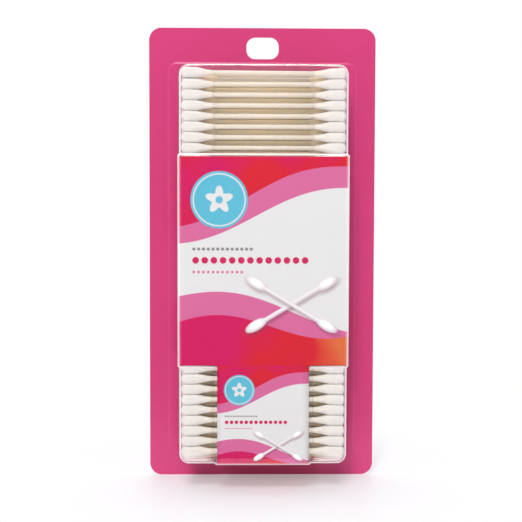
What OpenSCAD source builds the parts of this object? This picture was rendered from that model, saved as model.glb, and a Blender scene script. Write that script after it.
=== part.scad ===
// Carded blister pack of cotton swabs: a clear thermoformed tub, held by its flange between
// two printed cards, with a folded paper label inside its raised band and a stack of
// paper-stick swabs behind it. X is to the right, Z is up and the front faces -Y.
// The origin is the middle of the hang hole, on the back of the card.

/* [Swabs] */
// Length of a swab from tip to tip
swab_len = 76.2; // [70:0.1:80]
// Width of a cotton head at its fullest
head_d = 4.72; // [4.2:0.02:5.2]
// Length of a cotton head along the swab
head_len = 15.5; // [13:0.5:20]
// Distance from the tip to where the head starts to taper
head_full = 8.5; // [4:0.5:9]
// Distance from the tip to the shoulder of the taper
head_shoulder = 11; // [10:0.5:12]
// Width of the head at that shoulder
shoulder_d = 3.9; // [3.4:0.1:4.1]
// Width of the thin end of the cotton
neck_d = 2.9; // [2.8:0.1:3.2]
// Diameter of a rolled paper stick
stick_d = 2.3; // [2:0.1:2.6]
// Cotton beyond the end of the stick
tip_cover = 2.5; // [1.5:0.5:4]
// Clearance between the stick and the cotton round it
stick_fit = 0.04; // [0.02:0.01:0.08]
// Clearance between neighbouring heads
head_gap = 0.14; // [0.08:0.02:0.4]
// Swabs in each layer
rows = 37; // [32:1:40]
// Tilt of the uppermost front swab, which lies loose in the headroom
loose_tilt = 0.3; // [0:0.1:0.6]

/* [Tub] */
// Thickness of the clear sheet
wall = 0.4; // [0.3:0.05:0.6]
// Space between a swab's tip and the side of the tub at the front
end_gap = 0.35; // [0.2:0.05:1]
// Space in front of and behind the stack
layer_gap = 0.12; // [0.08:0.02:0.5]
// Space above the front layer
headroom = 1.5; // [0.8:0.1:4]
// Draft of the walls, in degrees
draft = 1.5; // [0.5:0.25:4]
// Radius of the tub's four corners, seen from the front
corner_r = 4.5; // [3.5:0.25:6]
// Radius of the edge between the front and the walls
edge_r = 1.3; // [0.9:0.1:2]
// Flare where the walls meet the flange
foot = 0.7; // [0.4:0.1:1.2]
// Width of the flange that the card covers at the sides
trap_side = 4; // [2:0.5:6]
// Width of the flange that the card covers above and below
trap_end = 1.25; // [1:0.25:3]
// Radius of the flange's corners
flange_r = 3.5; // [2:0.5:6]

/* [Label band] */
// Distance from the tub's upper edge at the card down to the raised band
band_drop = 41.8; // [30:0.2:50]
// Height of the raised band
band_h = 99; // [80:0.5:110]
// How far the band stands out from the tub
band_step = 0.8; // [0.6:0.1:1.2]
// Width of the bevel along the band's edges
band_bevel = 0.8; // [0.4:0.1:1.2]
// Width of the raised tongue below the band
tongue_w = 45; // [30:1:56]
// Thickness of the label paper
paper_t = 0.3; // [0.2:0.05:0.4]
// Clearance between the label and the clear sheet
paper_gap = 0.06; // [0.04:0.01:0.1]
// Distance from the label's side flaps back to the flange
flap_gap = 1.5; // [0.5:0.5:8]

/* [Card] */
// Thickness of the back card
back_t = 0.5; // [0.3:0.05:0.8]
// Thickness of the front card
front_t = 0.5; // [0.3:0.05:0.8]
// Card beyond the embossed edge at the sides
card_side = 8.75; // [4:0.25:20]
// Card beyond the embossed edge below
card_below = 8.75; // [4:0.05:30]
// Card above the middle of the hang hole
card_above = 9.8; // [7.5:0.1:16]
// Radius of the card's corners
card_r = 6; // [2:0.5:9]
// Width of the embossed slope round the flange
slope_w = 1.4; // [0.6:0.1:2]
// Space between the tub's foot and the window in the front card
window_gap = 0.4; // [0.2:0.1:1]
// Space between the flange's edge and the inside of the embossing
flange_gap = 0.1; // [0.05:0.05:0.3]

/* [Hang hole] */
// Width of the hang hole
hole_w = 15.6; // [10:0.2:32]
// Height of the hang hole
hole_h = 10.3; // [6:0.1:12]
// Radius of the hang hole's corners
hole_r = 4.2; // [1:0.2:5]
// Distance from the middle of the hang hole down to the tub's upper edge at the card
tub_drop = 10.5; // [10.2:0.1:20]

/* [Hidden] */
LAYERS = 8;
$fn = 48;
// Steps in a rounded corner and in a rounded edge
CORNER_STEPS = 8;
EDGE_STEPS = 4;
// How far a cut runs past the surface that it opens
CUT = 1;
// How far under the tub's surface a bevel starts, and the angle of the foot's flare
SINK = 0.05;
FLARE = 45;
// Neighbouring layers nest in each other's hollows
pitch = head_d + head_gap;
layer_pitch = pitch * sin(60);
inner_depth = (LAYERS - 1) * layer_pitch + head_d + 2 * layer_gap;
tub_depth = inner_depth + wall;
// The clear sheet's front face and the two faces of its flange
front_y = -(back_t + tub_depth);
flange_y = -(back_t + wall);
// Outside of the tub at its front face
front_w = swab_len + 2 * (end_gap + wall);
front_top = -tub_drop - spread(tub_depth - wall);
// The second layer rests in the rounded corners of the tub
second_s = layer_gap + head_d / 2 + layer_pitch;
corner_play = corner_r - wall - head_d / 2;
second_end_gap = min(end_gap + spread(second_s), corner_play);
stack_lift = corner_play - sqrt(max(0, second_end_gap * (2 * corner_play - second_end_gap)));
stack_h = head_d + stack_lift - spread(second_s) + (rows - 0.5) * pitch + headroom;
front_bottom = front_top - 2 * wall - stack_h;
second_z = front_bottom + wall - spread(second_s) + stack_lift + head_d / 2;
// Band and tongue; inside a bevel or flare the surfaces meet further along by this share
band_top = -tub_drop - band_drop;
band_bottom = band_top - band_h;
bevel_shift = tan(atan((band_step + SINK) / band_bevel) / 2);
foot_shift = tan(FLARE / 2);
// Foot, window and flange, all worked out from the tub's outline at the card
base_s = tub_depth - wall;
window_grow = max(foot, band_step) + window_gap;
flange_side = window_grow + trap_side;
flange_end = window_grow + trap_end;
emboss_side = flange_side + slope_w;
emboss_end = flange_end + slope_w;
card_w = front_w + 2 * (spread(base_s) + emboss_side + card_side);
card_bottom = front_bottom - spread(base_s) - emboss_end - card_below;
paper_off = wall + paper_gap;

// How far a drafted wall spreads at a distance s behind the tub's front face
function spread(s) = s * tan(draft);

// Points of a quarter circle about (x, z), starting at angle a0
function quarter(x, z, r, a0, steps) =
    [for (i = [0:steps]) [x + r * cos(a0 + 90 * i / steps), z + r * sin(a0 + 90 * i / steps)]];

// Outline of a rounded rectangle, centred on x = 0
function rounded(w, top, bottom, r) = concat(
    quarter(w / 2 - r, top - r, r, 0, CORNER_STEPS),
    quarter(r - w / 2, top - r, r, 90, CORNER_STEPS),
    quarter(r - w / 2, bottom + r, r, 180, CORNER_STEPS),
    quarter(w / 2 - r, bottom + r, r, 270, CORNER_STEPS)
);

// The tub's outline at a distance s behind its front face, grown by g
function tub_outline(s, g) = rounded(
    front_w + 2 * (spread(s) + g),
    front_top + spread(s) + g,
    front_bottom - spread(s) - g,
    corner_r + g
);

// The tub's outline at the card, grown by side and end
function base_outline(side, end, r) = rounded(
    front_w + 2 * (spread(base_s) + side),
    front_top + spread(base_s) + end,
    front_bottom - spread(base_s) - end,
    r
);

// One side of a section of the band, from its back edge at y_back round to the front.
// out is how far the section stands out from the tub and off how far it lies inside that.
function band_side(out, off, y_back) = concat(
    [[front_w / 2 + out - off + spread(y_back - front_y), y_back]],
    [for (i = [0:EDGE_STEPS])
        let (a = 90 * i / EDGE_STEPS, r = edge_r - off)
            [front_w / 2 + out - off - r * (1 - cos(a)), front_y - out + off + r * (1 - sin(a))]]
);

function mirrored(points) = [for (i = [len(points) - 1:-1:0]) [-points[i][0], points[i][1]]];

// Closed section of the band in X and Y
function band_section(out, off, y_back) =
    concat(band_side(out, off, y_back), mirrored(band_side(out, off, y_back)));

// Lower line of a section of the tongue in Y and Z, from its back edge to the front
function tongue_line(out, off, y_back) = concat(
    [[y_back, front_bottom - out + off - spread(y_back - front_y)]],
    [for (i = [0:EDGE_STEPS])
        let (a = 90 * i / EDGE_STEPS, r = edge_r - off)
            [front_y - out + off + r * (1 - sin(a)), front_bottom - out + off + r * (1 - cos(a))]]
);

// Closed section of the tongue, up to the height top
function tongue_section(out, off, y_back, top) =
    concat(tongue_line(out, off, y_back), [[front_y - out + off, top], [y_back, top]]);

// A plate with the given outline in X and Z, from y towards the front
module plate(y, t) {
    translate([0, y, 0]) rotate([90, 0, 0]) linear_extrude(t) children();
}

// Outlines put into space: across Y at the depth y, across Z at the height z, across X at x
function ring_y(points, y) = [for (p = points) [p[0], y, p[1]]];
function ring_z(points, z) = [for (p = points) [p[0], p[1], z]];
function ring_x(points, x) = [for (p = points) [x, p[0], p[1]]];

// The convex body that a list of rings spans
module loft(rings) {
    points = [for (ring = rings) each ring];
    hull() polyhedron(points, [[for (i = [0:len(points) - 1]) i]]);
}

// The tub's body with rounded front edges, off inside its outer surface, and the flare
// of its foot, which runs on through the flange to y_back
module tub_body(off, y_back) {
    r = edge_r - off;
    foot_y = flange_y - foot + off * foot_shift;
    neck = ring_y(tub_outline(base_s - foot, -off), foot_y);
    flare = tub_outline(base_s, foot - off);
    loft(concat(
        [for (i = [0:EDGE_STEPS])
            let (a = 90 * i / EDGE_STEPS, s = off + r * (1 - sin(a)))
                ring_y(tub_outline(s, -off - r * (1 - cos(a))), front_y + s)],
        [neck]
    ));
    loft([neck, ring_y(flare, foot_y + foot)]);
    loft([ring_y(flare, foot_y + foot), ring_y(flare, y_back)]);
}

// The raised band, off inside its outer surface
module band_body(off, y_back) {
    shift = off * bevel_shift;
    low = band_section(-SINK, off, y_back);
    high = band_section(band_step, off, y_back);
    loft([
        ring_z(low, band_bottom + shift),
        ring_z(high, band_bottom + band_bevel + shift),
        ring_z(high, band_top - band_bevel - shift),
        ring_z(low, band_top - shift)
    ]);
}

// The raised tongue, off inside its outer surface
module tongue_body(off, y_back) {
    shift = off * bevel_shift;
    half = tongue_w / 2 - shift;
    top = band_bottom + 2 * band_bevel + shift;
    low = tongue_section(-SINK, off, y_back, top);
    high = tongue_section(band_step, off, y_back, top);
    loft([
        ring_x(low, -half), ring_x(high, band_bevel - half),
        ring_x(high, half - band_bevel), ring_x(low, half)
    ]);
}

// Everything that the clear sheet encloses, off inside its outer surface
module tub_form(off, y_back) {
    tub_body(off, y_back);
    band_body(off, y_back);
    tongue_body(off, y_back);
}

module clear_tub() {
    color([0.93, 0.95, 0.97, 0.35])
        difference() {
            union() {
                tub_form(0, -back_t);
                plate(-back_t, wall) polygon(base_outline(flange_side, flange_end, flange_r));
            }
            tub_form(wall, CUT - back_t);
        }
}

// The folded label: a front panel with a flap down each side of the tub, and a tongue
// that runs down the front and folds under the bottom
module label_insert() {
    back = flange_y - flap_gap;
    inner = paper_off + paper_t;
    edge = band_bevel + paper_off;
    low = band_bottom + edge;
    color([0.93, 0.3, 0.5])
        difference() {
            union() {
                slab_z(low, band_top - edge) polygon(band_section(band_step, paper_off, back));
                slab_x(edge - tongue_w / 2, tongue_w / 2 - edge)
                    polygon(tongue_section(band_step, paper_off, back, low + paper_gap));
            }
            slab_z(low - CUT, band_top - edge + CUT)
                polygon(band_section(band_step, inner, back + CUT));
            slab_x(edge - tongue_w / 2 - CUT, tongue_w / 2 - edge + CUT)
                polygon(tongue_section(band_step, inner, back + CUT, low + 2 * CUT));
        }
}

module slab_z(z0, z1) { translate([0, 0, z0]) linear_extrude(z1 - z0) children(); }
module slab_x(x0, x1) {
    translate([x0, 0, 0]) rotate([90, 0, 90]) linear_extrude(x1 - x0) children();
}

module card_outline() { polygon(rounded(card_w, card_above, card_bottom, card_r)); }
module hang_hole() {
    plate(CUT, back_t + front_t + 2 * CUT)
        polygon(rounded(hole_w, hole_h / 2, -hole_h / 2, hole_r));
}

module back_card() {
    color([0.82, 0.24, 0.46])
        difference() {
            plate(0, back_t) card_outline();
            hang_hole();
        }
}

// The embossed pad that covers the flange, from the depth y0 at its foot to y1 at its top
module embossing(y0, y1) {
    g = flange_gap;
    loft([
        ring_y(base_outline(emboss_side + g, emboss_end + g, flange_r + slope_w + g), y0),
        ring_y(base_outline(flange_side + g, flange_end + g, flange_r + g), y1)
    ]);
}

module front_card() {
    color([0.84, 0.27, 0.49])
        difference() {
            union() {
                plate(-back_t, front_t) card_outline();
                embossing(-back_t - front_t, flange_y - front_t);
            }
            embossing(-back_t, flange_y);
            plate(CUT - back_t, wall + front_t + 2 * CUT)
                polygon(base_outline(window_grow, window_grow, corner_r + window_grow));
            hang_hole();
        }
}

// Half outline of a cotton head, its tip at the origin and its axis up
module head_profile() {
    r = head_d / 2;
    difference() {
        union() {
            intersection() {
                translate([0, r]) circle(r);
                square([r, r]);
            }
            polygon([
                [0, r], [r, r], [r, head_full], [shoulder_d / 2, head_shoulder],
                [neck_d / 2, head_len], [0, head_len]
            ]);
        }
        translate([0, tip_cover]) square([stick_d / 2 + stick_fit, head_len]);
    }
}

module head(side) {
    translate([side * swab_len / 2, 0, 0]) rotate([0, -side * 90, 0]) rotate_extrude() head_profile();
}

module stick() {
    translate([tip_cover - swab_len / 2, 0, 0])
        rotate([0, 90, 0]) cylinder(h = swab_len - 2 * tip_cover, d = stick_d);
}

// Places one swab part in every row of a layer. Layer 1 is the front one; odd layers nest
// half a pitch higher than even ones. The uppermost swab of layer 1 lies askew.
module in_layer(layer) {
    y = front_y + wall + layer_gap + head_d / 2 + (layer - 1) * layer_pitch;
    z0 = second_z + (layer % 2 == 1 ? pitch / 2 : 0);
    for (row = [0:rows - 1]) {
        loose = layer == 1 && row == rows - 1;
        lift = loose ? sin(loose_tilt) * swab_len / 2 : 0;
        translate([0, y, z0 + row * pitch + lift])
            rotate([0, loose ? loose_tilt : 0, 0]) children();
    }
}

module swab_sticks(layer) { color([0.96, 0.93, 0.87]) in_layer(layer) stick(); }
module swab_heads(layer) { color([0.98, 0.97, 0.95]) in_layer(layer) for (side = [-1, 1]) head(side); }

back_card();
front_card();
clear_tub();
label_insert();
for (i = [1:LAYERS]) {
    swab_sticks(i);
    swab_heads(i);
}
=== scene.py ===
"""Looks of a carded blister pack of cotton swabs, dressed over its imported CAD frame.

Two printed boards hold a clear thermoformed tub by its flange. A folded paper label sits in
the tub's raised band, and eight nested layers of paper-stick swabs lie behind it. Lengths are
in millimetres until a mesh is written. X is to the right, Z is up and the front faces -Y.
"""

import logging
import math
from dataclasses import dataclass, field
from enum import Enum

import bmesh
import bpy
import numpy as np
from mathutils import Matrix, Vector
from mathutils.geometry import tessellate_polygon


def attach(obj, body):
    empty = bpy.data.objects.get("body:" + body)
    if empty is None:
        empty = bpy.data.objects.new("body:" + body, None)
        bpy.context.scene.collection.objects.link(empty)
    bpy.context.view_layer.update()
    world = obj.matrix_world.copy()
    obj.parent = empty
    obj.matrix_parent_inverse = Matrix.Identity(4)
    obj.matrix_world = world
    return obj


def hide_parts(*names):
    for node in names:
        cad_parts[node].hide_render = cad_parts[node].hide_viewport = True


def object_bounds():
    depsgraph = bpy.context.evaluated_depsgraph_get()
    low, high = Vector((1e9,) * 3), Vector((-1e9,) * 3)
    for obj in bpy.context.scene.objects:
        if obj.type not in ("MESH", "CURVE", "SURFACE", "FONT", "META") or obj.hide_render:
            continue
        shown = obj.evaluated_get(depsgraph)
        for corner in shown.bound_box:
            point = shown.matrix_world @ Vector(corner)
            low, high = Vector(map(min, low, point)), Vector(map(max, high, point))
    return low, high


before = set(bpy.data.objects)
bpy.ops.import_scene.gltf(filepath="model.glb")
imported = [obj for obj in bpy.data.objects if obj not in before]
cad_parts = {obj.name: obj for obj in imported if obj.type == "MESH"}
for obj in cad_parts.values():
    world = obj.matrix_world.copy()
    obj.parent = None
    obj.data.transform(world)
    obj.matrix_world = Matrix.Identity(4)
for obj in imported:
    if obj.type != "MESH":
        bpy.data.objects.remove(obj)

CAD_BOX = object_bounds()
MM = 0.001
UV_MM = 100.0  # one unit of a UV map is this many millimetres
SEAM = 2e-6  # metres within which the points of a seam are merged
log = logging.getLogger("swab_pack")
Array = np.ndarray
Material = bpy.types.Material
Piece = bpy.types.Object
Socket = bpy.types.NodeSocket
Tree = bpy.types.NodeTree


def linear(code: str, alpha: float = 1.0) -> tuple[float, float, float, float]:
    """Turns an sRGB hex colour into linear RGBA.

    Args:
        code: The colour as "#RRGGBB".
        alpha: The fourth channel.

    Returns:
        Four linear values from 0 to 1.
    """
    srgb = np.array([int(code[i : i + 2], 16) for i in (1, 3, 5)]) / 255
    low, high = srgb / 12.92, ((srgb + 0.055) / 1.055) ** 2.4
    return (*np.where(srgb <= 0.04045, low, high).tolist(), alpha)


def per_metre(size_mm: float) -> float:
    """The texture scale at which one cell is size_mm wide on coordinates in metres."""
    return 1 / (size_mm * MM)


def add(tree: Tree, kind: str, inputs: dict | None = None, **settings: object) -> bpy.types.NodeOutputs:
    """Adds a shader node with its settings, values and links.

    Args:
        tree: The material's or world's node tree.
        kind: The node type without its "ShaderNode" prefix.
        inputs: Values or output sockets by input name or number.
        settings: Properties of the node itself.

    Returns:
        The new node's outputs.
    """
    node = tree.nodes.new("ShaderNode" + kind)
    for name, value in settings.items():
        setattr(node, name, value)
    for key, value in (inputs or {}).items():
        if isinstance(value, Socket):
            tree.links.new(value, node.inputs[key])
        else:
            node.inputs[key].default_value = value
    return node.outputs


def blank_material(name: str) -> Material:
    """Adds a material with an empty node tree.

    Args:
        name: The material's name.

    Returns:
        The material.
    """
    material = bpy.data.materials.new(name)
    material.use_nodes = True
    material.node_tree.nodes.clear()
    return material


# Finishes


@dataclass(frozen=True)
class CoatedBoard:
    """Solid bleached board, offset printed in one solid ink under a gloss varnish.

    The ink lies even, the varnish gives a soft broad shine, and the sheet's long fibres show
    through it as a faint mottle and a slow unevenness of the surface.
    """

    name: str = "coated_board_magenta"
    ink: str = "#CF3A77"
    ink_deep: str = "#CB3774"
    roughness: tuple[float, float] = (0.32, 0.41)  # where the varnish lies thick and thin
    mottle_mm: float = 9.0
    fibre_mm: float = 0.7  # bundles of fibres, since a single one is too fine to show
    fibre_depth_mm: float = 0.006

    def make(self) -> Material:
        """Builds the printed board's material.

        Returns:
            The material.
        """
        material = blank_material(self.name)
        tree = material.node_tree
        place = add(tree, "TexCoord")["Object"]
        scale = per_metre(self.mottle_mm)
        mottle = add(tree, "TexNoise", {"Vector": place, "Scale": scale, "Detail": 3.0})[0]
        ink = add(
            tree, "Mix", {0: mottle, 6: linear(self.ink), 7: linear(self.ink_deep)}, data_type="RGBA"
        )[2]
        fibre = add(tree, "TexNoise", {"Vector": place, "Scale": per_metre(self.fibre_mm), "Detail": 4.0})[0]
        bump = add(tree, "Bump", {"Height": fibre, "Strength": 0.5, "Distance": self.fibre_depth_mm * MM})[0]
        rough = add(tree, "MapRange", {0: mottle, 3: self.roughness[0], 4: self.roughness[1]})[0]
        shader = add(
            tree, "BsdfPrincipled",
            {"Base Color": ink, "Roughness": rough, "Normal": bump, "IOR": 1.5,
             "Coat Weight": 0.25, "Coat Roughness": 0.22},
        )[0]
        add(tree, "OutputMaterial", {"Surface": shader})
        return material


@dataclass(frozen=True)
class BoardCore:
    """The uncoated pulp of the board, at its cut edges and on its inner side.

    It is a warm off-white, matt, with the fibres' fine flecks.
    """

    name: str = "board_pulp"
    pulp: str = "#EFE9E2"
    fleck: str = "#D9CFC6"
    fleck_mm: float = 0.35  # clumps of fibres, since a single one is too fine to show
    fleck_at: tuple[float, float] = (0.55, 0.75)  # the noise's levels over which a fleck shows
    fibre_depth_mm: float = 0.02

    def make(self) -> Material:
        """Builds the bare board's material.

        Returns:
            The material.
        """
        material = blank_material(self.name)
        tree = material.node_tree
        place = add(tree, "TexCoord")["Object"]
        fibre = add(tree, "TexNoise", {"Vector": place, "Scale": per_metre(self.fleck_mm), "Detail": 5.0})[0]
        flecks = add(tree, "MapRange", {0: fibre, 1: self.fleck_at[0], 2: self.fleck_at[1]})[0]
        pulp = add(
            tree, "Mix", {0: flecks, 6: linear(self.pulp), 7: linear(self.fleck)}, data_type="RGBA"
        )[2]
        bump = add(tree, "Bump", {"Height": fibre, "Strength": 0.6, "Distance": self.fibre_depth_mm * MM})[0]
        shader = add(tree, "BsdfPrincipled", {"Base Color": pulp, "Roughness": 0.9, "Normal": bump})[0]
        add(tree, "OutputMaterial", {"Surface": shader})
        return material


@dataclass(frozen=True)
class ClearSheet:
    """Clear PET sheet, thermoformed over a smooth mould.

    It is nearly colourless, and its surface runs in slow waves from the forming. Along its
    edges a pale opaque shader is mixed in as a painted highlight, so that every edge shows as
    a pale line. Lamps shine through it as through the real thin sheet.
    """

    name: str = "thermoformed_pet"
    tint: str = "#FDFDFD"
    ior: float = 1.4
    roughness: float = 0.02
    wave_mm: float = 14.0
    wave_depth_mm: float = 0.05
    # the painted highlight's colour: a pale opaque shader that shows every edge as a pale line
    painted_rim_colour: str = "#FFF0F1"
    painted_rim_roughness: float = 0.25
    painted_rim_share: float = 0.85  # how much painted highlight the sheet's sharpest edge gets

    def make(self) -> Material:
        """Builds the clear sheet's material. The UV map's X gives the share of painted highlight, a pale
        opaque shader mixed in along the sheet's edges.

        Returns:
            The material.
        """
        material = blank_material(self.name)
        tree = material.node_tree
        place = add(tree, "TexCoord")["Object"]
        wave = add(tree, "TexNoise", {"Vector": place, "Scale": per_metre(self.wave_mm), "Detail": 1.0})[0]
        bump = add(tree, "Bump", {"Height": wave, "Strength": 0.6, "Distance": self.wave_depth_mm * MM})[0]
        sheet = add(
            tree, "BsdfPrincipled",
            {"Base Color": linear(self.tint), "Roughness": self.roughness, "IOR": self.ior,
             "Transmission Weight": 1.0, "Normal": bump},
        )[0]
        uv = add(tree, "SeparateXYZ", {0: add(tree, "UVMap")["UV"]})
        # Painted highlight: a pale opaque shader mixed over the clear sheet by the UV map's X.
        painted_rim = add(tree, "Math", {0: uv["X"], 1: self.painted_rim_share}, operation="MULTIPLY", use_clamp=True)[0]
        pale = add(
            tree, "BsdfPrincipled",
            {"Base Color": linear(self.painted_rim_colour), "Roughness": self.painted_rim_roughness, "Normal": bump},
        )[0]
        sheet = add(tree, "MixShader", {0: painted_rim, 1: sheet, 2: pale})[0]
        path = add(tree, "LightPath")
        lets_lamps = add(tree, "BsdfTransparent", {"Color": linear(self.tint)})[0]
        lamps = add(tree, "MixShader", {0: path["Is Shadow Ray"], 1: sheet, 2: lets_lamps})[0]
        soft = add(tree, "MixShader", {0: path["Is Diffuse Ray"], 1: lamps, 2: lets_lamps})[0]
        add(tree, "OutputMaterial", {"Surface": soft})
        return material


@dataclass(frozen=True)
class WoundCotton:
    """Bleached cotton fibre, wound round the stick and pressed in a hot mould.

    The pressing lays the fibres round the head in fine streaks with a felted, matt surface
    and a faint sheen where loose fibres catch the light. The felt's low places are painted a
    little darker as shade. Towards the neck, neck_to_mm from the swab's middle, the cotton
    thins out and the stick's paper shows through; where the neck colour is set warm, as in
    the inner layers, it is also painted warm light bounced between the sticks.
    """

    name: str = "wound_cotton"
    fibre: str = "#E8E3DF"
    # a darker cotton colour painted into the felt's low places as shade
    painted_hollow_shade: str = "#E3DED8"
    neck: str = "#E9DFD2"
    neck_from_mm: float = 29.0
    neck_to_mm: float = 24.0
    streak_mm: float = 0.35  # bundles of fibres, since a single one is too fine to show
    streak_squeeze: float = 2.2  # how much closer the streaks lie along the stick than round it
    streak_share: float = 0.5  # of their height against the felt's
    felt_mm: float = 1.6
    felt_at: tuple[float, float] = (0.35, 0.65)  # the noise's levels from the painted shade of the felt's low places to the fibre's colour
    depth_mm: float = 0.05
    soft: float = 0.9
    soft_mm: float = 2.0

    def make(self) -> Material:
        """Builds the cotton's material, on Object coordinates.

        Returns:
            The material.
        """
        material = blank_material(self.name)
        tree = material.node_tree
        place = add(tree, "TexCoord")["Object"]
        along = add(tree, "Mapping", {"Vector": place, "Scale": (self.streak_squeeze, 1.0, 1.0)})[0]
        streak = add(
            tree, "TexNoise",
            {"Vector": along, "Scale": per_metre(self.streak_mm), "Detail": 4.0, "Roughness": 0.65},
        )[0]
        felt = add(tree, "TexNoise", {"Vector": place, "Scale": per_metre(self.felt_mm), "Detail": 3.0})[0]
        height = add(tree, "Math", {0: streak, 1: self.streak_share, 2: felt}, operation="MULTIPLY_ADD")[0]
        bump = add(tree, "Bump", {"Height": height, "Strength": 0.8, "Distance": self.depth_mm * MM})[0]
        # Painted shade: the colour darkens where the felt noise, which also sets the bump's height, is low.
        share = add(tree, "MapRange", {0: felt, 1: self.felt_at[0], 2: self.felt_at[1]})[0]
        colour = add(
            tree, "Mix", {0: share, 6: linear(self.painted_hollow_shade), 7: linear(self.fibre)}, data_type="RGBA"
        )[2]
        # The neck colour: the cotton's real thinning, and where it is set warm also painted warm light
        # bounced between the sticks.
        far = add(tree, "Math", {0: add(tree, "SeparateXYZ", {0: place})["X"]}, operation="ABSOLUTE")[0]
        thin = add(tree, "MapRange", {0: far, 1: self.neck_from_mm * MM, 2: self.neck_to_mm * MM})[0]
        colour = add(tree, "Mix", {0: thin, 6: colour, 7: linear(self.neck)}, data_type="RGBA")[2]
        shader = add(
            tree, "BsdfPrincipled",
            {"Base Color": colour, "Roughness": 0.95, "Normal": bump, "Specular IOR Level": 0.2,
             "Sheen Weight": 0.25, "Sheen Roughness": 0.6,
             "Subsurface Weight": self.soft, "Subsurface Scale": self.soft_mm * MM,
             "Subsurface Radius": (1.0, 0.95, 0.88)},
        )[0]
        add(tree, "OutputMaterial", {"Surface": shader})
        return material


@dataclass(frozen=True)
class RolledPaper:
    """Uncoated paper strip, rolled tight into a stick.

    The strip's edge runs round the stick as a fine long spiral, and the paper is a warm
    cream with soft fibres.
    """

    name: str = "rolled_paper"
    paper: str = "#E7DDD0"
    shade: str = "#DCCCB3"
    turn_mm: float = 9.0
    seam_share: float = 0.05  # of a turn, over which the strip's edge shows
    seam_dark: float = 0.5
    fibre_mm: float = 0.5  # bundles of fibres, since a single one is too fine to show
    fibre_at: tuple[float, float] = (0.4, 0.7)  # the noise's levels over which a fibre shows
    fibre_dark: float = 0.35
    fibre_height: float = 0.3  # against the seam's
    relief_mm: float = 0.03
    soft_mm: float = 1.4

    def make(self) -> Material:
        """Builds the stick paper's material on the sticks' own UV map.

        Returns:
            The material.
        """
        material = blank_material(self.name)
        tree = material.node_tree
        uv = add(tree, "SeparateXYZ", {0: add(tree, "UVMap")["UV"]})
        turn = add(
            tree, "Math", {0: uv["Y"], 1: UV_MM / self.turn_mm, 2: uv["X"]}, operation="MULTIPLY_ADD"
        )[0]
        seam = add(tree, "Math", {0: turn, 1: 0.0, 2: 1.0}, operation="WRAP")[0]
        seam = add(tree, "MapRange", {0: seam, 1: 0.0, 2: self.seam_share, 3: 1.0, 4: 0.0})[0]
        place = add(tree, "TexCoord")["Object"]
        fibre = add(tree, "TexNoise", {"Vector": place, "Scale": per_metre(self.fibre_mm), "Detail": 4.0})[0]
        low, high = self.fibre_at
        dark = add(tree, "MapRange", {0: fibre, 1: low, 2: high, 3: 0.0, 4: self.fibre_dark})[0]
        dark = add(tree, "Math", {0: seam, 1: self.seam_dark, 2: dark}, operation="MULTIPLY_ADD")[0]
        colour = add(
            tree, "Mix", {0: dark, 6: linear(self.paper), 7: linear(self.shade)}, data_type="RGBA"
        )[2]
        height = add(tree, "Math", {0: fibre, 1: self.fibre_height, 2: seam}, operation="MULTIPLY_ADD")[0]
        bump = add(tree, "Bump", {"Height": height, "Strength": 0.4, "Distance": self.relief_mm * MM})[0]
        shader = add(
            tree, "BsdfPrincipled",
            {"Base Color": colour, "Roughness": 0.75, "Normal": bump,
             "Subsurface Weight": 0.5, "Subsurface Scale": self.soft_mm * MM,
             "Subsurface Radius": (1.0, 0.85, 0.6)},
        )[0]
        add(tree, "OutputMaterial", {"Surface": shader})
        return material


@dataclass(frozen=True)
class WaveEdge:
    """The wavy upper edge of one printed field, in millimetres on the panel."""

    level: float
    slope: float
    swing: float
    length: float
    start: float  # angle of the wave at the panel's middle, in radians
    soft: float = 0.25  # half the width over which the field begins

    def mask(self, tree: Tree, u: Socket, v: Socket) -> Socket:
        """A mask that is 1 below the line level + slope u + swing sin(2 pi u / length + start).

        Args:
            tree: The node tree.
            u: Millimetres across the panel.
            v: Millimetres up from its top.

        Returns:
            The mask's socket.
        """
        terms = {0: u, 1: 2 * math.pi / self.length, 2: self.start}
        angle = add(tree, "Math", terms, operation="MULTIPLY_ADD")[0]
        wave = add(tree, "Math", {0: angle}, operation="SINE")[0]
        line = add(tree, "Math", {0: u, 1: self.slope, 2: self.level}, operation="MULTIPLY_ADD")[0]
        line = add(tree, "Math", {0: wave, 1: self.swing, 2: line}, operation="MULTIPLY_ADD")[0]
        depth = add(tree, "Math", {0: line, 1: v}, operation="SUBTRACT")[0]
        ends = {0: depth, 1: -self.soft, 2: self.soft}
        return add(tree, "MapRange", ends, interpolation_type="SMOOTHSTEP")[0]


@dataclass(frozen=True)
class DotRow:
    """A printed row of plain dots, in millimetres on the panel."""

    left: float
    level: float
    count: int
    step: float
    wide: float
    ink: str


@dataclass(frozen=True)
class SwabPass:
    """One pass of the printed swabs: how far it drops, how much it grows, how soft its edge
    is, its ink and how well it covers."""

    drop: float
    grow: float
    soft: float
    ink: str
    cover: float


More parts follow.
